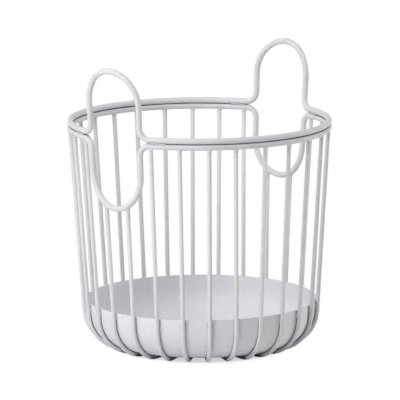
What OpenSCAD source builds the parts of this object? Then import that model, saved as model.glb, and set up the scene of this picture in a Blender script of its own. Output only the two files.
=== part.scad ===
// Round wire basket. Two stacked rim wires are bent up and down into two tall handles, and
// ribs run down from the lower rim wire and turn in under a sheet metal tray.
// The origin is on the floor under the basket's centre, and the handles are on the X axis.

/* [Rim] */
// Width over the outside of the rim
rim_across = 300; // [240:1:380]
// Thickness of the two rim wires
rim_wire = 6.7; // [5:0.1:9]
// Height of the lower rim wire's centre above the floor
rim_height = 253; // [190:1:320]

/* [Handles] */
// Width of a handle, between the centres of its legs
handle_across = 72; // [60:1:84]
// Height of a handle's top over the upper rim wire, between wire centres
handle_rise = 73.5; // [60:0.5:100]
// Depth of the lower wire's loop under the lower rim wire, between wire centres
handle_drop = 75; // [60:0.5:100]
// Length of each leg before it starts to round over
leg_length = 35; // [25:1:45]
// Distance from the corner of rim and leg to where the bend starts
corner = 12; // [8:0.5:15]

/* [Ribs] */
// Number of ribs on each side, from one handle to the other
side_ribs = 12; // [8:1:13]
// Distance along the rim from a handle's bend to the nearest of these ribs
rib_side_gap = 1.1; // [0.5:0.1:5]
// Distance between the two short ribs under each handle
short_rib_gap = 32.5; // [26:0.5:36]
// Thickness of a rib
rib_wire = 4.9; // [3:0.1:6]
// How far the ribs stand outside the rim wire's centre line
rib_lead = 0.2; // [0:0.1:0.8]
// Outward lean of the ribs and the handles, in degrees
wall_lean = 3.7; // [1:0.1:8]
// Radius of the ribs' bend under the tray, at the wire's centre
rib_bend = 43; // [30:1:50]
// Length of the flat run of each rib under the tray
rib_foot = 30; // [15:1:45]

/* [Tray] */
// Height of the tray's edge above the floor
tray_height = 55.5; // [50:0.5:90]
// Thickness of the tray's sheet
sheet = 1.2; // [0.8:0.1:3]

/* [Welds] */
// Thickness of a weld around the top of a rib
weld_bead = 1; // [0.4:0.1:1.2]
// Thickness of the two weld beads that hold each rib to the tray
tray_bead = 1.4; // [1:0.1:2]
// Length of these beads
tray_bead_length = 6; // [3:0.5:8]
// Depth of their upper ends below the tray's edge
tray_bead_drop = 3; // [1:0.5:6]
// Thickness of a weld bead in the groove between the two rim wires
rim_bead = 1.6; // [1:0.1:2]
// Length of such a bead
rim_bead_length = 20; // [8:1:40]
// Gap left where two welded pieces meet
seat = 0.1; // [0.05:0.05:0.3]

/* [Hidden] */
// Going round from the X axis, each half has a short rib, the side's ribs and a short rib
half_ribs = side_ribs + 2;
rib_count = 2 * half_ribs;
rib_names = [for (i = [1 : rib_count]) str("rib_", i < 10 ? "0" : "", i)];
weld_names = ["rim_welds", "rib_welds", "tray_welds"];

$fn = 48;
powder_white = [0.88, 0.88, 0.89];
tray_white = [0.8, 0.8, 0.82];
weld_white = [0.84, 0.84, 0.85];

half_turn = 180;
// How far a cutting shape runs past what it cuts
overrun = 1;
// Each bend stops this far short of its ends, inside a sleeve that joins it to what comes next
join_gap = 0.1;
// How far such a sleeve reaches each way, and how much wider than the wire it is all round
join_length = 0.4;
join_margin = 0.02;

// The rim's centre line, and the corner where its tangent meets a handle's leg
rim_r = (rim_across - rim_wire) / 2;
upper_rim_height = rim_height + rim_wire + seat;
corner_r = norm([rim_r, corner]);
leg_angle = asin(handle_across / 2 / corner_r);
bend_angle = leg_angle + atan(corner / rim_r);
rim_bead_angle = rim_bead_length / rim_r * half_turn / PI;

// The ribs' leaning line and the bend at its foot
short_rib_angle = asin(short_rib_gap / 2 / wall_r(rim_height));
first_rib_angle = bend_angle + rib_side_gap / rim_r * half_turn / PI;
rib_pitch = (half_turn - 2 * first_rib_angle) / (side_ribs - 1);
foot_z = rib_wire / 2 + join_margin;
rib_bend_z = foot_z + rib_bend;
rib_bend_x = wall_r(rib_bend_z) - rib_bend / cos(wall_lean);
rib_bend_top = [
    rib_bend_x + rib_bend * cos(wall_lean),
    0,
    rib_bend_z - rib_bend * sin(wall_lean)
];
rib_down = [-sin(wall_lean), 0, -cos(wall_lean)];
wall_out = [cos(wall_lean), 0, -sin(wall_lean)];
rib_bend_end = [rib_bend_x, 0, foot_z];
rib_end = [rib_bend_x - rib_foot, 0, foot_z];

// Radius of the ribs' centre line at a height above the floor
function wall_r(height) = rim_r + rib_lead - (rim_height - height) * tan(wall_lean);
// The same line as a point in the XZ plane
function wall_point(height) = [wall_r(height), 0, height];
function unit(v) = v / norm(v);
function outward(angle) = [cos(angle), sin(angle), 0];
function onward(angle) = [-sin(angle), cos(angle), 0];
function upward(height) = [0, 0, height];

// A rib's place in its half, counted from 0, and its angle
function place(i) = (i - 1) % half_ribs;
function is_short(i) = place(i) == 0 || place(i) == half_ribs - 1;
function rib_angle(i) =
    (i > half_ribs ? half_turn : 0)
    + (place(i) == 0 ? short_rib_angle
        : is_short(i) ? half_turn - short_rib_angle
        : first_rib_angle + (place(i) - 1) * rib_pitch);
function nearest_handle(i) = round(rib_angle(i) / half_turn) * half_turn;
// Height of the lower wire's loop over the short ribs
short_rib_height =
    let (
        aside = wall_r(rim_height - handle_drop) * sin(short_rib_angle),
        round_over = sqrt(1 - pow(2 * aside / handle_across, 2))
    )
    rim_height - leg_length - (handle_drop - leg_length) * round_over;
function rib_top(i) = is_short(i) ? short_rib_height : rim_height;

// Straight wire between two points
module wire_run(from, to, gauge) {
    way = to - from;
    translate(from)
        rotate([0, acos(way.z / norm(way)), atan2(way.y, way.x)])
            cylinder(h = norm(way), d = gauge);
}

// Round bend of wire that leaves a point along aim, a unit vector, and ends at another point
module wire_arc(from, aim, to, gauge) {
    chord = to - from;
    axis = unit(cross(aim, chord));
    turn = 2 * atan2(norm(cross(aim, chord)), aim * chord);
    bend_r = norm(chord) / 2 / sin(turn / 2);
    inward = cross(axis, aim);
    gap_angle = join_gap / bend_r * half_turn / PI;
    translate(from + bend_r * inward)
        rotate([
            atan2(aim.z, axis.z),
            asin(inward.z),
            atan2(-inward.y, -inward.x)
        ])
            rotate([0, 0, gap_angle])
                rotate_extrude(angle = turn - 2 * gap_angle)
                    translate([bend_r, 0])
                        circle(d = gauge);
}

// Sleeve around the wire's line at a point, along aim, that joins two lengths of wire
module wire_joint(at, aim, gauge) {
    wire_run(at - join_length * aim, at + join_length * aim, gauge + 2 * join_margin);
}

// Two such bends in one smooth line, which arrives at the second point along end_aim
module wire_bend(from, aim, to, end_aim, gauge) {
    way = to - from;
    both = aim + end_aim;
    spread = 2 * (1 - aim * end_aim);
    reach = (sqrt(pow(way * both, 2) + spread * way * way) - way * both) / spread;
    first = from + reach * aim;
    last = to - reach * end_aim;
    middle_aim = unit(last - first);
    middle = first + reach * middle_aim;
    wire_arc(from, aim, middle, gauge);
    wire_joint(middle, middle_aim, gauge);
    wire_arc(middle, middle_aim, to, gauge);
}

// Ring of wire on the rim's centre line, or the part of it between two angles
module rim_arc(gauge, start = 0, end = 2 * half_turn) {
    rotate([0, 0, start])
        rotate_extrude(angle = end - start, $fn = 2 * $fn)
            translate([rim_r, 0])
                circle(d = gauge);
}

// Middle of a loop's rounded end
function loop_top(up, reach) =
    (corner_r + up * reach * tan(wall_lean)) * outward(0) + upward(up * reach);

// Rounded end of a handle loop, from the end of one leg to the middle. It lies in the wall's
// own round, so it bows outward as the rim does. Up is 1 for the upper wire, -1 for the lower.
module loop_crown(up, reach, gauge) {
    aim = up * (cos(wall_lean) * upward(1) + sin(wall_lean) * outward(leg_angle));
    leg_end = corner_r * outward(leg_angle) + leg_length * aim;
    wire_bend(leg_end, aim, loop_top(up, reach), -onward(0), gauge);
}

// Half of a handle loop: the bend out of the rim, the leg and the rounded end
module loop_half(up, reach, gauge) {
    aim = up * (cos(wall_lean) * upward(1) + sin(wall_lean) * outward(leg_angle));
    corner_point = corner_r * outward(leg_angle);
    leg_start = corner_point + corner * aim;
    leg_end = corner_point + leg_length * aim;
    rim_end = rim_r * outward(bend_angle);
    wire_joint(rim_end, onward(bend_angle), gauge);
    wire_arc(leg_start, -aim, rim_end, gauge);
    wire_joint(leg_start, aim, gauge);
    wire_run(leg_start, leg_end, gauge);
    wire_joint(leg_end, aim, gauge);
    loop_crown(up, reach, gauge);
}

// One closed rim wire with its two loops
module rim_with_loops(up, reach) {
    for (side = [0, half_turn]) {
        rotate([0, 0, side]) {
            loop_half(up, reach, rim_wire);
            mirror([0, 1, 0])
                loop_half(up, reach, rim_wire);
            wire_joint(loop_top(up, reach), onward(0), rim_wire);
            rim_arc(rim_wire, bend_angle, half_turn - bend_angle);
        }
    }
}

module upper_rim_wire() {
    color(powder_white)
        translate(upward(upper_rim_height))
            rim_with_loops(1, handle_rise);
}

module lower_rim_wire() {
    color(powder_white)
        translate(upward(rim_height))
            rim_with_loops(-1, handle_drop);
}

// Room that the lower rim wire takes, cut out of the pieces that end on it
module lower_rim_room(i) {
    gauge = rim_wire + 2 * seat;
    translate(upward(rim_height)) {
        if (is_short(i)) {
            rotate([0, 0, nearest_handle(i)]) {
                loop_crown(-1, handle_drop, gauge);
                mirror([0, 1, 0])
                    loop_crown(-1, handle_drop, gauge);
            }
        }
        else {
            rim_arc(gauge);
        }
    }
}

// Rib of a given thickness, from its end under the tray up to a height
module rib_line(top, gauge) {
    wire_run(rib_end, rib_bend_end, gauge);
    wire_joint(rib_bend_end, -outward(0), gauge);
    wire_arc(rib_bend_top, rib_down, rib_bend_end, gauge);
    wire_joint(rib_bend_top, rib_down, gauge);
    wire_run(rib_bend_top, wall_point(top), gauge);
}

module rib(i) {
    color(powder_white)
        difference() {
            rotate([0, 0, rib_angle(i)])
                rib_line(rib_top(i), rib_wire);
            lower_rim_room(i);
        }
}

// Half of the round shape that fits inside the ribs, drawn a given distance in from their
// centre line and up to a given height
module bowl_half(inset, height) {
    bend = rib_bend - inset;
    floor_z = rib_bend_z - bend;
    edge = wall_r(height) - inset / cos(wall_lean);
    intersection() {
        union() {
            translate([0, floor_z])
                square([rib_bend_x, height - floor_z]);
            translate([rib_bend_x, rib_bend_z])
                circle(r = bend, $fn = 2 * $fn);
            polygon([
                [rib_bend_x, rib_bend_z],
                [rib_bend_x + bend * cos(wall_lean), rib_bend_z - bend * sin(wall_lean)],
                [edge, height],
                [rib_bend_x, height]
            ]);
        }
        square([rim_r, height]);
    }
}

// The sheet lies against the inner side of the ribs all the way down
module tray() {
    outside = rib_wire / 2 + seat;
    color(tray_white)
        rotate_extrude($fn = 3 * $fn)
            difference() {
                bowl_half(outside, tray_height);
                bowl_half(outside + sheet, tray_height + overrun);
            }
}

// Four welds between the rim wires, one beside each handle leg. Each is a bead in the groove
// outside and a bead in the groove inside.
module rim_welds() {
    between = (rim_wire + seat) / 2;
    aside = sqrt(pow((rim_wire + rim_bead) / 2 + seat, 2) - pow(between, 2));
    color(weld_white)
        translate(upward(rim_height + between))
            for (start = [bend_angle, -bend_angle - rim_bead_angle]) {
                for (side = [0, half_turn]) {
                    for (line_r = [rim_r - aside, rim_r + aside]) {
                        rotate([0, 0, side + start])
                            rotate_extrude(angle = rim_bead_angle, $fn = 8 * $fn)
                                translate([line_r, 0])
                                    circle(d = rim_bead);
                    }
                }
            }
}

// A round bead around the top of each rib
module rib_welds() {
    color(weld_white)
        for (i = [1 : rib_count]) {
            difference() {
                rotate([0, 0, rib_angle(i)])
                    translate(wall_point(rib_top(i) - rim_wire / 2))
                        sphere(r = rib_wire / 2 + weld_bead);
                rotate([0, 0, rib_angle(i)])
                    wire_run(wall_point(tray_height), wall_point(rib_top(i)), rib_wire);
                lower_rim_room(i);
            }
        }
}

// A short bead in the groove on each side of each rib, just under the tray's edge, which
// lies along the rib and against the sheet
module tray_welds() {
    bead_r = tray_bead / 2;
    inward = rib_wire / 2 - bead_r;
    aside = sqrt(pow(rib_wire / 2 + bead_r + seat, 2) - pow(inward, 2));
    top = wall_point(tray_height - tray_bead_drop) - inward * wall_out;
    bottom = top + tray_bead_length * rib_down;
    color(weld_white)
        for (i = [1 : rib_count]) {
            for (side = [-aside, aside]) {
                rotate([0, 0, rib_angle(i)])
                    translate(side * onward(0))
                        wire_run(bottom, top, tray_bead);
            }
        }
}

upper_rim_wire();
lower_rim_wire();
tray();
rim_welds();
rib_welds();
tray_welds();
for (i = [1 : rib_count]) {
    rib(i);
}
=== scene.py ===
# %% [markdown]
# # A welded wire basket
# The basket is bent and welded from steel wire, and then powder coated in a matt white. Two
# stacked rim wires bend up and down into the handles, and 28 ribs run down from the lower one and
# turn in under a sheet metal tray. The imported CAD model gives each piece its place. This lesson
# builds the pieces again with the soft edges, the welds and the coat of the real ones.

# %% Load the basket
import math

import bmesh
import bpy
from mathutils import Matrix, Vector, noise


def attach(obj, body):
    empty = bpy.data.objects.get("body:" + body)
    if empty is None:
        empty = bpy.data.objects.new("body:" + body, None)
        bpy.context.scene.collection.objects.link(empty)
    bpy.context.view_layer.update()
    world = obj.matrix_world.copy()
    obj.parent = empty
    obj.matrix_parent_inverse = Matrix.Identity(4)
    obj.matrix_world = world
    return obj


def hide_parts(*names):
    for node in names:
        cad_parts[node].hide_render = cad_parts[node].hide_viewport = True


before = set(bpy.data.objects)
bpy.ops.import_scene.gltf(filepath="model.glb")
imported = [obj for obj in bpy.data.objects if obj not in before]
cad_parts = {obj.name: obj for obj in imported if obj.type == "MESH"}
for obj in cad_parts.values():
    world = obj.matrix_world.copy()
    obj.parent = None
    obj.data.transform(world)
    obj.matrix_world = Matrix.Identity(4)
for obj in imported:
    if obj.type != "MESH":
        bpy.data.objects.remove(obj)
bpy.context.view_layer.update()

# %% [markdown]
# The camera comes first, because every later choice is judged through it. The photograph was
# taken from five metres away with a long lens, a little above the rim, so that upright ribs stay
# almost parallel. Moving the camera until things look right is one way. Here the numbers come
# from fitting the rim's ellipse, the ribs and both handles at once, which is surer than the eye.

# %% Camera
CAMERA_TURN = math.radians(220.88)
CAMERA_RISE = math.radians(10.285)
CAMERA_ROLL = math.radians(-0.2)
CAMERA_REACH = 5.01
CAMERA_LENS = 396.65
CAMERA_SENSOR = 36
NEAREST_SEEN = 0.1
FURTHEST_SEEN = 60
LOOK_ASIDE = 0.00024
LOOK_HEIGHT = 0.1679


def direction(turn, rise):
    """Unit vector at an angle round the Z axis and an angle above the floor."""
    flat = math.cos(rise)
    return Vector((math.cos(turn) * flat, math.sin(turn) * flat, math.sin(rise)))


def add_camera():
    """The photograph's own view, as a long lens aimed at the basket's axis."""
    away = direction(CAMERA_TURN, CAMERA_RISE)
    to_the_right = direction(CAMERA_TURN + math.pi / 2, 0)
    target = to_the_right * LOOK_ASIDE + Vector((0, 0, LOOK_HEIGHT))
    lens = bpy.data.cameras.new("photo_camera")
    lens.sensor_width = CAMERA_SENSOR
    lens.lens = CAMERA_LENS
    lens.clip_start = NEAREST_SEEN
    lens.clip_end = FURTHEST_SEEN
    holder = bpy.data.objects.new("photo_camera", lens)
    bpy.context.scene.collection.objects.link(holder)
    facing = (-away).to_track_quat("-Z", "Y").to_matrix().to_4x4()
    place = Matrix.Translation(target + away * CAMERA_REACH)
    holder.matrix_world = place @ facing @ Matrix.Rotation(CAMERA_ROLL, 4, "Z")
    bpy.context.scene.camera = holder
    return holder


camera = add_camera()
print("camera at", camera.matrix_world.translation)

# %% [markdown]
# The sizes are the CAD model's own, in metres. A wire is a line with a thickness, so most of them
# place a wire's centre line: the rim's radius, the legs of the handles, the lean of the ribs.

# %% Sizes
MM = 0.001

# Rim wires and handles
RIM_WIRE = 6.7 * MM
RIM_RADIUS = 146.65 * MM
LOWER_RIM_HEIGHT = 253 * MM
UPPER_RIM_HEIGHT = 259.8 * MM
HANDLE_ACROSS = 72 * MM
HANDLE_RISE = 73.5 * MM
HANDLE_DROP = 75 * MM
LEG_LENGTH = 35 * MM
CORNER = 12 * MM

# Ribs
RIB_WIRE = 4.9 * MM
RIB_LEAD = 0.2 * MM
RIB_BEND = 43 * MM
RIB_FOOT = 30 * MM
RIB_FLOOR = 2.47 * MM
SIDE_RIBS = 12
RIB_SIDE_GAP = 1.1 * MM
SHORT_RIB_GAP = 32.5 * MM
LEAN = math.radians(3.7)

# Tray, and the clearance at which one piece seats on another
TRAY_HEIGHT = 55.5 * MM
SHEET = 1.2 * MM
SEAT = 0.1 * MM

UP = Vector((0, 0, 1))
CORNER_RADIUS = math.hypot(RIM_RADIUS, CORNER)
LEG_ANGLE = math.asin(HANDLE_ACROSS / 2 / CORNER_RADIUS)
BEND_ANGLE = LEG_ANGLE + math.atan(CORNER / RIM_RADIUS)


def wall_radius(height):
    """Radius of the ribs' leaning centre line at a height above the floor."""
    return RIM_RADIUS + RIB_LEAD - (LOWER_RIM_HEIGHT - height) * math.tan(LEAN)


def outward(angle):
    """Unit vector away from the basket's axis at an angle round it."""
    return Vector((math.cos(angle), math.sin(angle), 0))


def onward(angle):
    """Unit vector along the rim at an angle round the axis."""
    return Vector((-math.sin(angle), math.cos(angle), 0))


print("handle leg at", math.degrees(LEG_ANGLE), "and its bend ends at", math.degrees(BEND_ANGLE))

# %% [markdown]
# A wire is modelled as it is bent in the workshop. It starts as a ring of points across the wire.
# Extrude carries the ring along a straight length, and Spin carries it round a bend. A curve with
# a bevel would be quicker, but spin gives every bend its true radius and a clean row of quads,
# and the mesh is finished as soon as the last bend is made.

# %% Wire by extrude and spin
MERGE_REACH = 0.01 * MM


def start_wire(name, at, along, gauge, sides):
    """A ring of points across a new wire, left in edit mode with the whole ring selected."""
    bpy.ops.object.select_all(action="DESELECT")
    bpy.ops.mesh.primitive_circle_add(
        vertices=sides,
        radius=gauge / 2,
        fill_type="NOTHING",
        location=at,
        rotation=along.to_track_quat("Z", "Y").to_euler(),
    )
    wire = bpy.context.object
    wire.name = name
    wire.data.name = name
    bpy.ops.object.transform_apply(location=True, rotation=True, scale=True)
    bpy.ops.object.mode_set(mode="EDIT")
    bpy.ops.mesh.select_all(action="SELECT")
    return wire


def run_on(way):
    """Carries the selected ring straight on."""
    bpy.ops.mesh.extrude_edges_move(TRANSFORM_OT_translate={"value": way})


def bend_on(start, along, end, steps):
    """Carries the selected ring round the one circle that leaves start along a way and meets end."""
    chord = end - start
    axis = along.cross(chord).normalized()
    turn = 2 * along.angle(chord)
    radius = chord.length / 2 / math.sin(turn / 2)
    centre = start + axis.cross(along) * radius
    bpy.ops.mesh.spin(steps=steps, angle=-turn, center=centre, axis=axis)
    return Matrix.Rotation(turn, 3, axis) @ along


def finish_wire(wire):
    """Closes doubles, turns the faces outwards and leaves the wire smooth, at the origin."""
    bpy.ops.mesh.select_all(action="SELECT")
    bpy.ops.mesh.remove_doubles(threshold=MERGE_REACH)
    bpy.ops.mesh.normals_make_consistent(inside=False)
    bpy.ops.object.mode_set(mode="OBJECT")
    bpy.ops.object.shade_smooth()
    return wire


# %% [markdown]
# Each rim wire is one closed line, and a quarter of it says everything: from the middle of a
# handle's arch, round two bends, down the leg, round the corner and along the rim to the middle of
# the basket's side. A Mirror modifier makes the rest. The lower wire is the same line turned upside
# down, with a loop that is a little deeper.

# %% Rim wires
WIRE_SIDES = 24
HANDLE_BEND_STEPS = 16
CORNER_STEPS = 10
RIM_STEPS = 40


def double_bend(start, along, end, end_along):
    """Where two bends of equal reach meet, so that the line leaves and arrives as asked."""
    way = end - start
    both = along + end_along
    spread = 2 * (1 - along.dot(end_along))
    reach = (math.sqrt(way.dot(both) ** 2 + spread * way.dot(way)) - way.dot(both)) / spread
    first = start + along * reach
    last = end - end_along * reach
    middle_along = (last - first).normalized()
    return first + middle_along * reach, middle_along


def rim_quarter(name, height, up, reach):
    """A quarter of a rim wire. Up is 1 for the upper wire and -1 for the lower one."""
    leg_way = (UP * math.cos(LEAN) + outward(LEG_ANGLE) * math.sin(LEAN)) * up
    corner = outward(LEG_ANGLE) * CORNER_RADIUS + UP * height
    leg_start = corner + leg_way * CORNER
    leg_end = corner + leg_way * LEG_LENGTH
    top = Vector((CORNER_RADIUS + up * reach * math.tan(LEAN), 0, height + up * reach))
    middle, middle_along = double_bend(leg_end, leg_way, top, -onward(0))
    wire = start_wire(name, top, onward(0), RIM_WIRE, WIRE_SIDES)
    bend_on(top, onward(0), middle, HANDLE_BEND_STEPS)
    bend_on(middle, -middle_along, leg_end, HANDLE_BEND_STEPS)
    run_on(leg_start - leg_end)
    bend_on(leg_start, -leg_way, outward(BEND_ANGLE) * RIM_RADIUS + UP * height, CORNER_STEPS)
    rest = math.pi / 2 - BEND_ANGLE
    bpy.ops.mesh.spin(steps=RIM_STEPS, angle=-rest, center=UP * height, axis=UP)
    bpy.ops.object.mode_set(mode="OBJECT")
    return wire


def mirrored(piece):
    """Completes a quarter with a Mirror modifier across both upright planes, and applies it."""
    bpy.context.view_layer.objects.active = piece
    mirror = piece.modifiers.new("mirror", "MIRROR")
    mirror.use_axis = (True, True, False)
    mirror.use_clip = True
    mirror.merge_threshold = MERGE_REACH
    bpy.ops.object.modifier_apply(modifier=mirror.name)
    bpy.ops.object.mode_set(mode="EDIT")
    return finish_wire(piece)


upper_wire = mirrored(rim_quarter("upper_rim", UPPER_RIM_HEIGHT, 1, HANDLE_RISE))
lower_wire = mirrored(rim_quarter("lower_rim", LOWER_RIM_HEIGHT, -1, HANDLE_DROP))
for wire in (upper_wire, lower_wire):
    corners = [Vector(c) for c in wire.bound_box]
    print(wire.name, len(wire.data.polygons), "faces", min(corners, key=sum), max(corners, key=sum))

# %% [markdown]
# A rib is a straight rod with one bend and a sheared foot. The shears leave the foot flat and the
# coat rounds its edge, so the end is closed and bevelled. One long rib and one short rib are
# modelled on the X axis. Each of the 28 is a copy with its own mesh, turned to its place.

# %% Ribs
RIB_SIDES = 20
RIB_BEND_STEPS = 14
FOOT_EDGE = 0.5 * MM
EDGE_SEGMENTS = 3


def wall_point(height):
    """Point of the leaning centre line of a rib on the X axis, at a height above the floor."""
    return Vector((wall_radius(height), 0, height))


BEND_HEIGHT = RIB_FLOOR + RIB_BEND
BEND_CENTRE_X = wall_radius(BEND_HEIGHT) - RIB_BEND / math.cos(LEAN)
BEND_TOP = Vector((
    BEND_CENTRE_X + RIB_BEND * math.cos(LEAN),
    0,
    BEND_HEIGHT - RIB_BEND * math.sin(LEAN),
))
BEND_END = Vector((BEND_CENTRE_X, 0, RIB_FLOOR))
RIB_END = BEND_END - Vector((RIB_FOOT, 0, 0))
RIB_WAY = Vector((math.sin(LEAN), 0, math.cos(LEAN)))


def select_points(piece, wanted):
    """Selects the points of the piece in edit mode whose place passes a test."""
    bpy.ops.mesh.select_all(action="DESELECT")
    mesh = bmesh.from_edit_mesh(piece.data)
    for point in mesh.verts:
        point.select = wanted(point.co)
    mesh.select_flush(True)
    bmesh.update_edit_mesh(piece.data)


def model_rib(name, top):
    """A rib on the X axis, from its foot under the tray to the middle of the wire above it."""
    piece = start_wire(name, RIB_END, Vector((1, 0, 0)), RIB_WIRE, RIB_SIDES)
    run_on(BEND_END - RIB_END)
    bend_on(BEND_END, Vector((1, 0, 0)), BEND_TOP, RIB_BEND_STEPS)
    run_on(wall_point(top) - BEND_TOP)
    bpy.ops.mesh.edge_face_add()
    select_points(piece, lambda place: place.x < RIB_END.x + FOOT_EDGE)
    bpy.ops.mesh.edge_face_add()
    bpy.ops.mesh.bevel(offset=FOOT_EDGE, segments=EDGE_SEGMENTS, affect="EDGES")
    return finish_wire(piece)


SHORT_RIB_ANGLE = math.asin(SHORT_RIB_GAP / 2 / wall_radius(LOWER_RIM_HEIGHT))
FIRST_RIB_ANGLE = BEND_ANGLE + RIB_SIDE_GAP / RIM_RADIUS
LOOP_ASIDE = wall_radius(LOWER_RIM_HEIGHT - HANDLE_DROP) * math.sin(SHORT_RIB_ANGLE)
LOOP_SHARE = 2 * LOOP_ASIDE / HANDLE_ACROSS
LOOP_ROUND = math.sqrt(1 - LOOP_SHARE ** 2)
SHORT_RIB_TOP = LOWER_RIM_HEIGHT - LEG_LENGTH - (HANDLE_DROP - LEG_LENGTH) * LOOP_ROUND


def rib_places():
    """Angle round the basket of each rib, and whether it is one of the short ones."""
    pitch = (math.pi - 2 * FIRST_RIB_ANGLE) / (SIDE_RIBS - 1)
    for half in (0, math.pi):
        yield half + SHORT_RIB_ANGLE, True
        for i in range(SIDE_RIBS):
            yield half + FIRST_RIB_ANGLE + i * pitch, False
        yield half + math.pi - SHORT_RIB_ANGLE, True


def turned_copy(piece, name, angle, first=Matrix.Identity(4)):
    """A copy with its own mesh, turned round the Z axis after a first change."""
    copy = piece.copy()
    copy.data = piece.data.copy()
    copy.name = copy.data.name = name
    copy.data.transform(first)
    copy.data.transform(Matrix.Rotation(angle, 4, "Z"))
    bpy.context.scene.collection.objects.link(copy)
    return copy


# Ribs that were welded aside of their even places, as the photograph shows, in mm at the rim
WELDED_ASIDE = {1: 4, 2: 2.5, 3: -1, 4: -2.5, 5: -2.5, 7: -1, 19: -3, 22: 1, 23: 1, 27: -2}


def tilt(number):
    """Tilts a piece on the X axis sideways about the tray's edge, as its rib was welded."""
    sideways = Matrix.Identity(4)
    slope = WELDED_ASIDE.get(number, 0) * MM / (LOWER_RIM_HEIGHT - TRAY_HEIGHT)
    sideways[1][2] = slope
    sideways[1][3] = -slope * TRAY_HEIGHT
    return sideways


long_rib = model_rib("long_rib", LOWER_RIM_HEIGHT)
short_rib = model_rib("short_rib", SHORT_RIB_TOP)
ribs = []
for number, (angle, is_short) in enumerate(rib_places(), 1):
    pattern = short_rib if is_short else long_rib
    ribs.append(turned_copy(pattern, f"wire_rib_{number:02d}", angle, tilt(number)))
for pattern in (long_rib, short_rib):
    bpy.data.objects.remove(pattern)
print(len(ribs), "ribs of", len(ribs[1].data.polygons), "faces")

# %% [markdown]
# The tray is one sheet pressed into a shallow bowl, so it starts as a disc whose edge is extruded
# up its wall ring by ring. Solidify then gives the sheet its thickness towards the inside, and the
# cut edge gets the small round that a thick coat leaves, which is what catches the light there.

# %% Tray
TRAY_SIDES = 160
TRAY_STEPS = 12
TRAY_OUTSIDE = RIB_WIRE / 2 + SEAT
FLAT_INSET_SHARE = 0.6
RING_MARGIN = 1 * MM
EDGE_ROUND = 0.42 * MM


def tray_profile():
    """Radius and height of the tray's outer side, from the edge of its flat up to its top."""
    bend = RIB_BEND - TRAY_OUTSIDE
    for i in range(TRAY_STEPS + 1):
        angle = (math.pi / 2 - LEAN) * i / TRAY_STEPS
        yield BEND_CENTRE_X + bend * math.sin(angle), BEND_HEIGHT - bend * math.cos(angle)
    yield wall_radius(TRAY_HEIGHT) - TRAY_OUTSIDE / math.cos(LEAN), TRAY_HEIGHT


def model_tray():
    """The tray from its flat outwards, with the sheet's thickness and a rounded edge."""
    profile = list(tray_profile())
    bpy.ops.object.select_all(action="DESELECT")
    bpy.ops.mesh.primitive_circle_add(
        vertices=TRAY_SIDES,
        radius=profile[0][0],
        fill_type="NGON",
        location=(0, 0, profile[0][1]),
    )
    piece = bpy.context.object
    piece.name = piece.data.name = "pressed_tray"
    bpy.ops.object.transform_apply(location=True, rotation=True, scale=True)
    bpy.ops.object.mode_set(mode="EDIT")
    bpy.ops.mesh.select_all(action="SELECT")
    bpy.ops.mesh.inset(thickness=profile[0][0] * FLAT_INSET_SHARE)
    outer = profile[0][0] - RING_MARGIN
    select_points(piece, lambda place: place.xy.length > outer)
    for (radius, height), (next_radius, next_height) in zip(profile, profile[1:]):
        bpy.ops.mesh.extrude_edges_move(
            TRANSFORM_OT_translate={"value": (0, 0, next_height - height)}
        )
        grow = next_radius / radius
        bpy.ops.transform.resize(value=(grow, grow, 1), center_override=(0, 0, next_height))
    bpy.ops.mesh.select_all(action="SELECT")
    bpy.ops.mesh.normals_make_consistent(inside=False)
    bpy.ops.object.mode_set(mode="OBJECT")
    sheet = piece.modifiers.new("sheet", "SOLIDIFY")
    sheet.thickness = SHEET
    sheet.offset = -1
    sheet.use_even_offset = True
    bpy.ops.object.modifier_apply(modifier=sheet.name)
    bpy.ops.object.mode_set(mode="EDIT")
    select_points(piece, lambda place: place.z > TRAY_HEIGHT - SHEET / 4)
    bpy.ops.mesh.bevel(offset=EDGE_ROUND, segments=EDGE_SEGMENTS, affect="EDGES")
    return finish_wire(piece)


tray = model_tray()
print("tray", len(tray.data.polygons), "faces, radius", max(v.co.x for v in tray.data.vertices))

# %% [markdown]
# Welds are small, but they are what tells a welded basket from a moulded one. Where a rib meets
# the wire above it, the molten metal climbs both and leaves a hollow fillet. A ring round the rib
# is extruded upwards and widened a little more each time, further along the wire than across it.
# Its last ring lies hidden inside the wire. A little noise keeps any two from being alike.

# %% Fillets at the ribs' tops
FILLET_SIDES = 16
FILLET_BUMP = 0.22 * MM
FILLET_BUMP_SPACING = 2.2 * MM
FILLET_SINK = 0.3 * MM
FILLET_RINGS = (
    # depth under the wire's centre, half width across the wire, half width along it, all in mm
    (5.4, 2.38, 2.38),
    (4.9, 2.50, 2.52),
    (4.4, 2.60, 2.68),
    (4.0, 2.72, 2.92),
    (3.6, 2.84, 3.22),
    (3.1, 2.88, 3.50),
    (2.3, 2.66, 3.60),
    (0.8, 2.00, 3.10),
)


def model_fillet():
    """A fillet on the X axis, round the top of a rib that ends on a wire at rim height."""
    piece = None
    last_centre, last_across, last_along = None, 0, 0
    for depth, across, along in FILLET_RINGS:
        height = LOWER_RIM_HEIGHT - depth * MM
        centre = wall_point(height)
        if piece is None:
            piece = start_wire("fillet", centre, RIB_WAY, 2 * across * MM, FILLET_SIDES)
            bpy.ops.mesh.edge_face_add()
        else:
            run_on(centre - last_centre)
            grow = (across / last_across, along / last_along, 1)
            bpy.ops.transform.resize(value=grow, center_override=centre)
        last_centre, last_across, last_along = centre, across, along
    bpy.ops.mesh.edge_face_add()
    bpy.ops.mesh.select_all(action="SELECT")
    bpy.ops.mesh.normals_make_consistent(inside=False)
    bpy.ops.object.mode_set(mode="OBJECT")
    return piece


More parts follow.
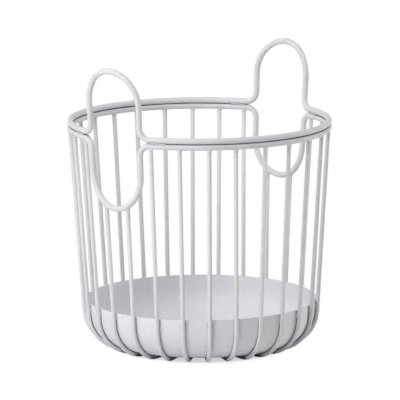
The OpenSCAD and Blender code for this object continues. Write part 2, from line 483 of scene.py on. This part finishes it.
def roughen(piece, height, spacing):
    """Moves each point along its normal by a smooth noise, so that a hand-made bead isn't even."""
    mesh = piece.data
    normals = [point.normal.copy() for point in mesh.vertices]
    for point, normal in zip(mesh.vertices, normals):
        point.co += normal * noise.noise(point.co / spacing) * height


def joined(pieces, name):
    """Joins pieces of one kind into one object under a name."""
    bpy.ops.object.select_all(action="DESELECT")
    for piece in pieces:
        piece.select_set(True)
    bpy.context.view_layer.objects.active = pieces[0]
    bpy.ops.object.join()
    whole = bpy.context.object
    whole.name = whole.data.name = name
    bpy.ops.object.shade_smooth()
    return whole


def smoothed(piece):
    """One level of subdivision, applied."""
    bpy.context.view_layer.objects.active = piece
    finer = piece.modifiers.new("finer", "SUBSURF")
    finer.levels = finer.render_levels = 1
    bpy.ops.object.modifier_apply(modifier=finer.name)
    return piece


fillet = smoothed(model_fillet())
LOOP_SLOPE = (HANDLE_DROP - LEG_LENGTH) / (HANDLE_ACROSS / 2) * LOOP_SHARE / LOOP_ROUND
fillets = []
for number, (angle, is_short) in enumerate(rib_places(), 1):
    first = tilt(number)
    if is_short:
        # the loop climbs away from the handle's middle, and the fillet leans with it
        side = 1 if math.sin(2 * angle) > 0 else -1
        lean = Matrix.Identity(4)
        lean[2][1] = side * LOOP_SLOPE
        drop = wall_point(SHORT_RIB_TOP - FILLET_SINK) - wall_point(LOWER_RIM_HEIGHT)
        first = tilt(number) @ Matrix.Translation(drop) @ lean
    copy = turned_copy(fillet, f"fillet_{number:02d}", angle, first)
    roughen(copy, FILLET_BUMP, FILLET_BUMP_SPACING)
    fillets.append(copy)
bpy.data.objects.remove(fillet)
rib_fillets = joined(fillets, "rib_weld_fillets")
print("fillets:", len(rib_fillets.data.polygons), "faces")

# %% [markdown]
# The rim wires are welded to each other beside every handle leg, and each rib is tacked to the
# tray under the tray's edge. A bead like these is a row of frozen drops. The ring of a thin wire
# is carried on in short steps and swells and shrinks on the way, and its ends run out thin.

# %% Beads
BEAD_SIDES = 10
END_LEAD = 0.35
END_STEEPNESS = 2.2
RIPPLE_MIDDLE_SHARE = 0.93
RIPPLE_SHARE = 0.07


def swell(step, steps):
    """Width of a bead at a step, as a share of its full width: ripples, with ends that run out."""
    turn = math.pi * (step + END_LEAD) / (steps + 2 * END_LEAD)
    end = min(1.0, math.sin(turn) * END_STEEPNESS)
    return end * (RIPPLE_MIDDLE_SHARE + RIPPLE_SHARE * math.cos(step * math.pi))


def model_bead(name, start, along, gauge, steps, carry):
    """A bead from start. carry moves the selected ring on by one step and returns its centre."""
    piece = start_wire(name, start, along, gauge * swell(0, steps), BEAD_SIDES)
    bpy.ops.mesh.edge_face_add()
    for step in range(1, steps + 1):
        centre = carry(step)
        grow = swell(step, steps) / swell(step - 1, steps)
        bpy.ops.transform.resize(value=(grow, grow, grow), center_override=centre)
    bpy.ops.mesh.edge_face_add()
    return smoothed(finish_wire(piece))


print("widths along a short bead:", [round(swell(step, 8), 2) for step in range(9)])

# %% [markdown]
# A bead between the rims lies in the groove that the two round wires make. Spin carries it on
# round the basket's own axis. Its radius follows from the wires' sizes, so it would stay in the
# groove if a wire changed. The groove has four inside and four outside, beside the handles' legs.

# %% Beads between the rims
RIM_BEAD = 1.6 * MM
RIM_BEAD_LENGTH = 20 * MM
RIM_BEAD_STEPS = 22
RIM_BEAD_BUMP = 0.16 * MM
RIM_BEAD_BUMP_SPACING = 1.4 * MM
BETWEEN = (RIM_WIRE + SEAT) / 2
RIM_BEAD_ASIDE = math.sqrt(((RIM_WIRE + RIM_BEAD) / 2 + SEAT) ** 2 - BETWEEN ** 2)
RIM_BEAD_ANGLE = RIM_BEAD_LENGTH / RIM_RADIUS


def rim_bead(radius):
    """A bead in the groove between the rims, inside or outside, from the X axis onwards."""
    height = LOWER_RIM_HEIGHT + BETWEEN
    step_angle = RIM_BEAD_ANGLE / RIM_BEAD_STEPS

    def carry(step):
        bpy.ops.mesh.spin(steps=1, angle=-step_angle, center=UP * height, axis=UP)
        return outward(step * step_angle) * radius + UP * height

    start = outward(0) * radius + UP * height
    return model_bead("rim_bead", start, onward(0), RIM_BEAD, RIM_BEAD_STEPS, carry)


beads = []
for radius in (RIM_RADIUS - RIM_BEAD_ASIDE, RIM_RADIUS + RIM_BEAD_ASIDE):
    pattern = rim_bead(radius)
    for side in (0, math.pi):
        for start in (BEND_ANGLE, -BEND_ANGLE - RIM_BEAD_ANGLE):
            beads.append(turned_copy(pattern, "rim_bead", side + start))
            roughen(beads[-1], RIM_BEAD_BUMP, RIM_BEAD_BUMP_SPACING)
    bpy.data.objects.remove(pattern)
rim_beads = joined(beads, "rim_weld_beads")
print("rim beads:", len(rim_beads.data.polygons), "faces")

# %% [markdown]
# The beads at the tray come in pairs, one on each side of a rib, in the corner that the rib makes
# with the tray's wall. They run straight down the wall, so here each step is an extrude.

# %% Beads at the tray
TRAY_BEAD = 1.4 * MM
TRAY_BEAD_LENGTH = 6 * MM
TRAY_BEAD_DROP = 3 * MM
TRAY_BEAD_STEPS = 8
TRAY_BEAD_BUMP = 0.14 * MM
TRAY_BEAD_BUMP_SPACING = 1.1 * MM
TRAY_BEAD_INWARD = (RIB_WIRE - TRAY_BEAD) / 2
TRAY_BEAD_ASIDE = math.sqrt(
    ((RIB_WIRE + TRAY_BEAD) / 2 + SEAT) ** 2 - TRAY_BEAD_INWARD ** 2
)


def tray_bead():
    """A bead down the wall of the tray, in the plane of the X axis."""
    wall_out = Vector((math.cos(LEAN), 0, -math.sin(LEAN)))
    start = wall_point(TRAY_HEIGHT - TRAY_BEAD_DROP) - wall_out * TRAY_BEAD_INWARD
    stride = -RIB_WAY * (TRAY_BEAD_LENGTH / TRAY_BEAD_STEPS)

    def carry(step):
        run_on(stride)
        return start + stride * step

    return model_bead("tray_bead", start, -RIB_WAY, TRAY_BEAD, TRAY_BEAD_STEPS, carry)


pattern = tray_bead()
beads = []
for number, (angle, _) in enumerate(rib_places(), 1):
    for aside in (-TRAY_BEAD_ASIDE, TRAY_BEAD_ASIDE):
        shift = tilt(number) @ Matrix.Translation((0, aside, 0))
        beads.append(turned_copy(pattern, "tray_bead", angle, shift))
        roughen(beads[-1], TRAY_BEAD_BUMP, TRAY_BEAD_BUMP_SPACING)
bpy.data.objects.remove(pattern)
tray_beads = joined(beads, "tray_weld_beads")
print("tray beads:", len(tray_beads.data.polygons), "faces")

# %% [markdown]
# The real basket isn't quite true: its foot sits a good millimetre to one side of its rim, as can
# happen when ribs are welded in a jig. Moving the tray alone would pull it off its ribs, so one
# shear moves everything below the rim. The rim wires and their beads stay where they are.

# %% A foot that sits aside
FOOT_ASIDE = 1.5 * MM
lean_aside = Matrix.Identity(4)
to_one_side = direction(CAMERA_TURN + math.pi / 2, 0) * FOOT_ASIDE
for axis in (0, 1):
    lean_aside[axis][2] = -to_one_side[axis] / LOWER_RIM_HEIGHT
    lean_aside[axis][3] = to_one_side[axis]
for piece in (*ribs, tray, rib_fillets, tray_beads):
    piece.data.transform(lean_aside)
print("the foot sits", to_one_side, "aside")

# %% [markdown]
# Powder coat is paint sprayed on dry and melted in an oven. It flows into a skin that is never
# quite level: a fine pebble a fraction of a millimetre high, with a slow unevenness under it. The
# same skin is on the wire, the tray and the welds, so it is built once, as a node group with named
# inputs. It puts out a tone for the colour and a height for the bump, and the shader stays outside.

# %% Skin of the powder coat
CLOUDS_PER_METRE = 24
DUST_FINENESS = 2.7
DUST_SHARE = 0.35


def feed(tree, source, socket):
    """Feeds a socket from a plain value or from another node's output."""
    if isinstance(source, bpy.types.NodeSocket):
        tree.links.new(source, socket)
    else:
        socket.default_value = source


def calculate(tree, operation, first, second):
    """A Math node. Each input is a value or another node's output."""
    node = tree.nodes.new("ShaderNodeMath")
    node.operation = operation
    feed(tree, first, node.inputs[0])
    feed(tree, second, node.inputs[1])
    return node.outputs[0]


def object_place(tree):
    """Place of a point in its object's own coordinates, which are the basket's."""
    return tree.nodes.new("ShaderNodeTexCoord").outputs["Object"]


def noise_value(tree, place, scale, detail):
    """Noise as a value round zero, at a scale that is a number or another node's output."""
    node = tree.nodes.new("ShaderNodeTexNoise")
    node.inputs["Detail"].default_value = detail
    tree.links.new(place, node.inputs["Vector"])
    feed(tree, scale, node.inputs["Scale"])
    return calculate(tree, "SUBTRACT", node.outputs["Fac"], 0.5)


def build_powder_skin():
    """The node group of the skin. Its tone lies round 1 and its height round 0."""
    group = bpy.data.node_groups.new("powder_skin", "ShaderNodeTree")
    for name in ("Pebbles per metre", "Speckle", "Unevenness"):
        group.interface.new_socket(name=name, in_out="INPUT", socket_type="NodeSocketFloat")
    for name in ("Tone", "Height"):
        group.interface.new_socket(name=name, in_out="OUTPUT", socket_type="NodeSocketFloat")
    given = group.nodes.new("NodeGroupInput")
    result = group.nodes.new("NodeGroupOutput")
    place = object_place(group)
    pebbles = noise_value(group, place, given.outputs["Pebbles per metre"], 3)
    finer = calculate(group, "MULTIPLY", given.outputs["Pebbles per metre"], DUST_FINENESS)
    dust = noise_value(group, place, finer, 1)
    clouds = noise_value(group, place, CLOUDS_PER_METRE, 3)
    speckle = calculate(group, "MULTIPLY", pebbles, given.outputs["Speckle"])
    cloudy = calculate(group, "MULTIPLY", clouds, given.outputs["Unevenness"])
    both = calculate(group, "ADD", speckle, cloudy)
    group.links.new(calculate(group, "ADD", both, 1), result.inputs["Tone"])
    dusty = calculate(group, "MULTIPLY", dust, DUST_SHARE)
    group.links.new(calculate(group, "ADD", pebbles, dusty), result.inputs["Height"])
    return group


powder_skin = build_powder_skin()
print("skin outputs:", [item.name for item in powder_skin.interface.items_tree])

# %% [markdown]
# Ambient Occlusion with a reach of a few millimetres finds by the shape alone where two wires
# touch, or a wire lies on the tray, and darkens the colour there: this is painted shade in those
# grooves, the same whatever the light. The groove between the rims is drawn more strongly than
# the ones between ribs and tray, which fade towards the tray's edge. Under the foot, a mask by
# the distance from the axis and by the way a surface faces darkens the ribs with painted shade,
# and leaves the side that is seen from in front as pale as the wall.

# %% Painted shade
GROOVE_SAMPLES = 16
GROOVES_WHOLE_BELOW = 34 * MM
GROOVES_FAINT_ABOVE = 54 * MM
UNDER_INNER = 99 * MM
UNDER_OUTER = 107 * MM
UNDER_FACING = 0.5


def spread_value(tree, source, first, last, at_first, at_last):
    """Goes smoothly from one value to another while the source goes from first to last."""
    spread = tree.nodes.new("ShaderNodeMapRange")
    spread.interpolation_type = "SMOOTHSTEP"
    spread.inputs["From Min"].default_value = first
    spread.inputs["From Max"].default_value = last
    spread.inputs["To Min"].default_value = at_first
    spread.inputs["To Max"].default_value = at_last
    tree.links.new(source, spread.inputs["Value"])
    return spread.outputs["Result"]


def painted_groove_shade(tree, reach, shut_at, open_at, deepest):
    """Painted shade in grooves: 1 on open surface, falling to the deepest value where something lies
    within the reach.
    """
    near = tree.nodes.new("ShaderNodeAmbientOcclusion")
    near.samples = GROOVE_SAMPLES
    near.inputs["Distance"].default_value = reach
    return spread_value(tree, near.outputs["AO"], shut_at, open_at, deepest, 1)


def height_of(tree, vector):
    """The Z part of a vector."""
    parts = tree.nodes.new("ShaderNodeSeparateXYZ")
    tree.links.new(vector, parts.inputs[0])
    return parts.outputs["Z"]


def length_of(tree, vector):
    """The length of a vector."""
    node = tree.nodes.new("ShaderNodeVectorMath")
    node.operation = "LENGTH"
    tree.links.new(vector, node.inputs[0])
    return node.outputs["Value"]


def faint_above(tree, shade, share):
    """Keeps the whole of a painted shade low down, and only a share of it further up."""
    height = height_of(tree, object_place(tree))
    kept = spread_value(tree, height, GROOVES_WHOLE_BELOW, GROOVES_FAINT_ABOVE, 1, share)
    missing = calculate(tree, "MULTIPLY", calculate(tree, "SUBTRACT", 1, shade), kept)
    return calculate(tree, "SUBTRACT", 1, missing)


def painted_under_shade(tree, darkest):
    """Painted shade under the tray: 1 outside the tray's foot, falling to the darkest value further
    in under the tray.
    """
    flat = tree.nodes.new("ShaderNodeVectorMath")
    flat.operation = "MULTIPLY"
    flat.inputs[1].default_value = (1, 1, 0)
    tree.links.new(object_place(tree), flat.inputs[0])
    facing = height_of(tree, tree.nodes.new("ShaderNodeNewGeometry").outputs["Normal"])
    down = spread_value(tree, facing, UNDER_FACING, 0, 0, 1 - darkest)
    radius = length_of(tree, flat.outputs[0])
    inward = spread_value(tree, radius, UNDER_OUTER, UNDER_INNER, 0, 1)
    return calculate(tree, "SUBTRACT", 1, calculate(tree, "MULTIPLY", down, inward))


# %% [markdown]
# All pieces get the same matt powder, but not the same skin: sprayed on the flat tray it lies
# thick and pebbled, and on a thin wire it lies smoother. A single material would make the wires
# rough or the tray bare, so one function makes a coat, and each kind of piece has its own values.

# %% Coats
COAT_ROUGHNESS = 0.6
COAT_IOR = 1.5
COAT_SPECULAR_LEVEL = 0.2
PEBBLES_PER_METRE = 1300


def powder_coat(name, colour, speckle, unevenness, bump_height, groove, groove_share, under):
    """Material of one coat: the skin's tone and the painted shade of grooves and of the foot over
    the colour, and a bump.
    """
    material = bpy.data.materials.new(name)
    material.use_nodes = True
    tree = material.node_tree
    shader = tree.nodes["Principled BSDF"]
    shader.inputs["Roughness"].default_value = COAT_ROUGHNESS
    shader.inputs["IOR"].default_value = COAT_IOR
    shader.inputs["Specular IOR Level"].default_value = COAT_SPECULAR_LEVEL
    skin = tree.nodes.new("ShaderNodeGroup")
    skin.node_tree = powder_skin
    skin.inputs["Pebbles per metre"].default_value = PEBBLES_PER_METRE
    skin.inputs["Speckle"].default_value = speckle
    skin.inputs["Unevenness"].default_value = unevenness
    grooves = faint_above(tree, painted_groove_shade(tree, *groove), groove_share)
    # painted shade: the darkening in grooves times the darkening under the foot
    painted_shade = calculate(tree, "MULTIPLY", grooves, painted_under_shade(tree, under))
    tone = calculate(tree, "MULTIPLY", skin.outputs["Tone"], painted_shade)
    toned = tree.nodes.new("ShaderNodeVectorMath")
    toned.operation = "SCALE"
    toned.inputs[0].default_value = colour
    tree.links.new(tone, toned.inputs["Scale"])
    tree.links.new(toned.outputs[0], shader.inputs["Base Color"])
    bump = tree.nodes.new("ShaderNodeBump")
    bump.inputs["Strength"].default_value = 1
    bump.inputs["Distance"].default_value = bump_height
    tree.links.new(skin.outputs["Height"], bump.inputs["Height"])
    tree.links.new(bump.outputs["Normal"], shader.inputs["Normal"])
    return material


WIRE_WHITE = (0.67, 0.665, 0.682)
TRAY_WHITE = (0.71, 0.711, 0.737)
# Painted shade of a groove: its reach, the openness at which it is darkest and at which it ends, and
# its deepest value
RIM_GROOVE_SHADE = (4 * MM, 0.3, 0.72, 0.02)
RIB_GROOVE_SHADE = (3 * MM, 0.05, 0.6, 0.05)

# groove, groove_share and under set how deep the painted shade is in grooves and under the foot
wire_coat = powder_coat(
    "wire_coat",
    WIRE_WHITE,
    speckle=0.12,
    unevenness=0.03,
    bump_height=0.02 * MM,
    groove=RIB_GROOVE_SHADE,
    groove_share=0.5,
    under=0.02,
)
rim_coat = powder_coat(
    "rim_coat",
    WIRE_WHITE,
    speckle=0.12,
    unevenness=0.03,
    bump_height=0.02 * MM,
    groove=RIM_GROOVE_SHADE,
    groove_share=1,
    under=1,
)
tray_coat = powder_coat(
    "tray_coat",
    TRAY_WHITE,
    speckle=0.75,
    unevenness=0.06,
    bump_height=0.12 * MM,
    groove=RIB_GROOVE_SHADE,
    groove_share=0.5,
    under=0.2,
)
weld_coat = powder_coat(
    "weld_coat",
    WIRE_WHITE,
    speckle=0.12,
    unevenness=0.05,
    bump_height=0.04 * MM,
    groove=RIB_GROOVE_SHADE,
    groove_share=1,
    under=1,
)
print("coats:", [coat.name for coat in (wire_coat, rim_coat, tray_coat, weld_coat)])

# %% [markdown]
# Each piece is given its coat, and the piece of the CAD model that it stands for is hidden. The
# basket is rigid, so all of them ride on its one body.

# %% Dressing the pieces
def dress(piece, coat, slot, *nodes):
    """Gives a piece its coat, hangs it on the basket's body and hides the CAD nodes that it stands
    for.
    """
    piece.data.materials.clear()
    piece.data.materials.append(coat)
    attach(piece, "root")
    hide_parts(*nodes)


dress(upper_wire, rim_coat, "wire_coat", "upper_rim_wire")
dress(lower_wire, rim_coat, "wire_coat", "lower_rim_wire")
for number, rib in enumerate(ribs, 1):
    dress(rib, wire_coat, "wire_coat", f"rib_{number:02d}")
dress(tray, tray_coat, "tray_coat", "tray")
dress(rib_fillets, weld_coat, "weld_coat", "rib_welds")
dress(rim_beads, weld_coat, "weld_coat", "rim_welds")
dress(tray_beads, weld_coat, "weld_coat", "tray_welds")
pieces = (upper_wire, lower_wire, *ribs, tray, rib_fillets, rim_beads, tray_beads)
print("dressed:", len(pieces), "pieces")

# %% [markdown]
# The photograph has a pure white ground. A lamp bright enough to burn the floor out would burn
# the pale basket too, so the camera, and rays that come mirrored or bent, meet plain white by
# Light Path, and all other light sees a pale floor. Only the round of floor under the tray is
# shown to the camera by the light that reaches it, with a glow added, so that a faint shadow is
# left where the basket stands.

# %% Floor and world
FLOOR_SIZE = 40
FLOOR_PALENESS = 0.95
SHADOW_PALENESS = 1
SHADOW_GLOW = 0.6
SHADOW_INNER = 92 * MM
SHADOW_OUTER = 108 * MM
WORLD_STRENGTH = 0.02


def white_rays(tree):
    """1 for rays from the camera, mirrored rays and bent rays, and 0 for the soft light."""
    path = tree.nodes.new("ShaderNodeLightPath")
    seen = calculate(tree, "ADD", path.outputs["Is Camera Ray"], path.outputs["Is Glossy Ray"])
    return calculate(tree, "ADD", seen, path.outputs["Is Transmission Ray"])


def mix_shaders(tree, share, first, second):
    """The first shader where the share is 0, and the second where it is 1."""
    mix = tree.nodes.new("ShaderNodeMixShader")
    tree.links.new(share, mix.inputs[0])
    tree.links.new(first, mix.inputs[1])
    tree.links.new(second, mix.inputs[2])
    return mix.outputs[0]


def outside_shadow(tree):
    """0 on the floor under the tray, rising to 1 under the ribs' bends."""
    spread = tree.nodes.new("ShaderNodeMapRange")
    spread.inputs["From Min"].default_value = SHADOW_INNER
    spread.inputs["From Max"].default_value = SHADOW_OUTER
    tree.links.new(length_of(tree, object_place(tree)), spread.inputs["Value"])
    return spread.outputs["Result"]


def grey(value):
    """An opaque grey, from 0 for black to 1 for white."""
    return (value, value, value, 1)


def add_floor():
    """A plain floor that lights the basket from below and looks white."""
    bpy.ops.object.select_all(action="DESELECT")
    bpy.ops.mesh.primitive_plane_add(size=FLOOR_SIZE, location=(0, 0, 0))
    floor = bpy.context.object
    floor.name = "floor"
    paper = bpy.data.materials.new("white_paper")
    paper.use_nodes = True
    tree = paper.node_tree
    shader = tree.nodes["Principled BSDF"]
    shader.inputs["Base Color"].default_value = grey(FLOOR_PALENESS)
    shader.inputs["Roughness"].default_value = 1
    shader.inputs["Specular IOR Level"].default_value = 0
    lit = tree.nodes.new("ShaderNodeBsdfDiffuse")
    lit.inputs["Color"].default_value = grey(SHADOW_PALENESS)
    glow = tree.nodes.new("ShaderNodeEmission")
    glow.inputs["Strength"].default_value = SHADOW_GLOW
    shadow = tree.nodes.new("ShaderNodeAddShader")
    tree.links.new(lit.outputs[0], shadow.inputs[0])
    tree.links.new(glow.outputs[0], shadow.inputs[1])
    white = tree.nodes.new("ShaderNodeEmission").outputs[0]
    seen = mix_shaders(tree, outside_shadow(tree), shadow.outputs[0], white)
    output = tree.nodes["Material Output"].inputs["Surface"]
    tree.links.new(mix_shaders(tree, white_rays(tree), shader.outputs[0], seen), output)
    floor.data.materials.append(paper)
    return floor


def add_world():
    """A faint light from all round, and plain white behind everything."""
    world = bpy.data.worlds.new("studio")
    bpy.context.scene.world = world
    world.use_nodes = True
    tree = world.node_tree
    soft = tree.nodes["Background"]
    soft.inputs["Color"].default_value = grey(1)
    soft.inputs["Strength"].default_value = WORLD_STRENGTH
    white = tree.nodes.new("ShaderNodeBackground")
    white.inputs["Color"].default_value = grey(1)
    output = tree.nodes["World Output"].inputs["Surface"]
    tree.links.new(mix_shaders(tree, white_rays(tree), soft.outputs[0], white.outputs[0]), output)
    return world


floor = add_floor()
world = add_world()
print("stage:", floor.name, "and", world.name)

# %% [markdown]
# The light of the photograph is soft and comes from the left and from above, with a low light on
# the right. A bright world would light all sides alike and take the shape away, so four large
# round lamps do it. Their powers were fitted to the photograph's tones with one render for each
# lamp, and then trimmed. Their tints are faint: cool on the left and warm on the right.

# %% Lamps
LAMP_REACH = 2.5
LAMP_AIM_HEIGHT = 150 * MM


def add_lamp(name, turn, rise, size, watts, tint):
    """Round soft lamp, turned to the camera's right from the camera's own direction."""
    way = direction(CAMERA_TURN + math.radians(turn), math.radians(rise))
    lamp = bpy.data.lights.new(name, "AREA")
    lamp.shape = "DISK"
    lamp.size = size
    lamp.energy = watts
    lamp.color = tint
    holder = bpy.data.objects.new(name, lamp)
    bpy.context.scene.collection.objects.link(holder)
    facing = (-way).to_track_quat("-Z", "Y").to_matrix().to_4x4()
    place = way * LAMP_REACH + UP * LAMP_AIM_HEIGHT
    holder.matrix_world = Matrix.Translation(place) @ facing
    holder.visible_camera = False
    return holder


lamps = (
    add_lamp("key_front", turn=-30, rise=30, size=1.8, watts=28.5, tint=(0.99, 1, 1)),
    add_lamp("key_left", turn=-60, rise=30, size=1.8, watts=27, tint=(0.985, 1, 1)),
    add_lamp("top", turn=0, rise=85, size=1.6, watts=22.5, tint=(0.99, 0.98, 1)),
    add_lamp("right", turn=106, rise=12, size=1.3, watts=32, tint=(1, 0.98, 0.965)),
)
print("lamps:", [lamp.name for lamp in lamps])

# %% [markdown]
# The view transform stays Standard, so a colour is shown as it is written.

# %% Finish
bpy.context.scene.view_settings.view_transform = "Standard"
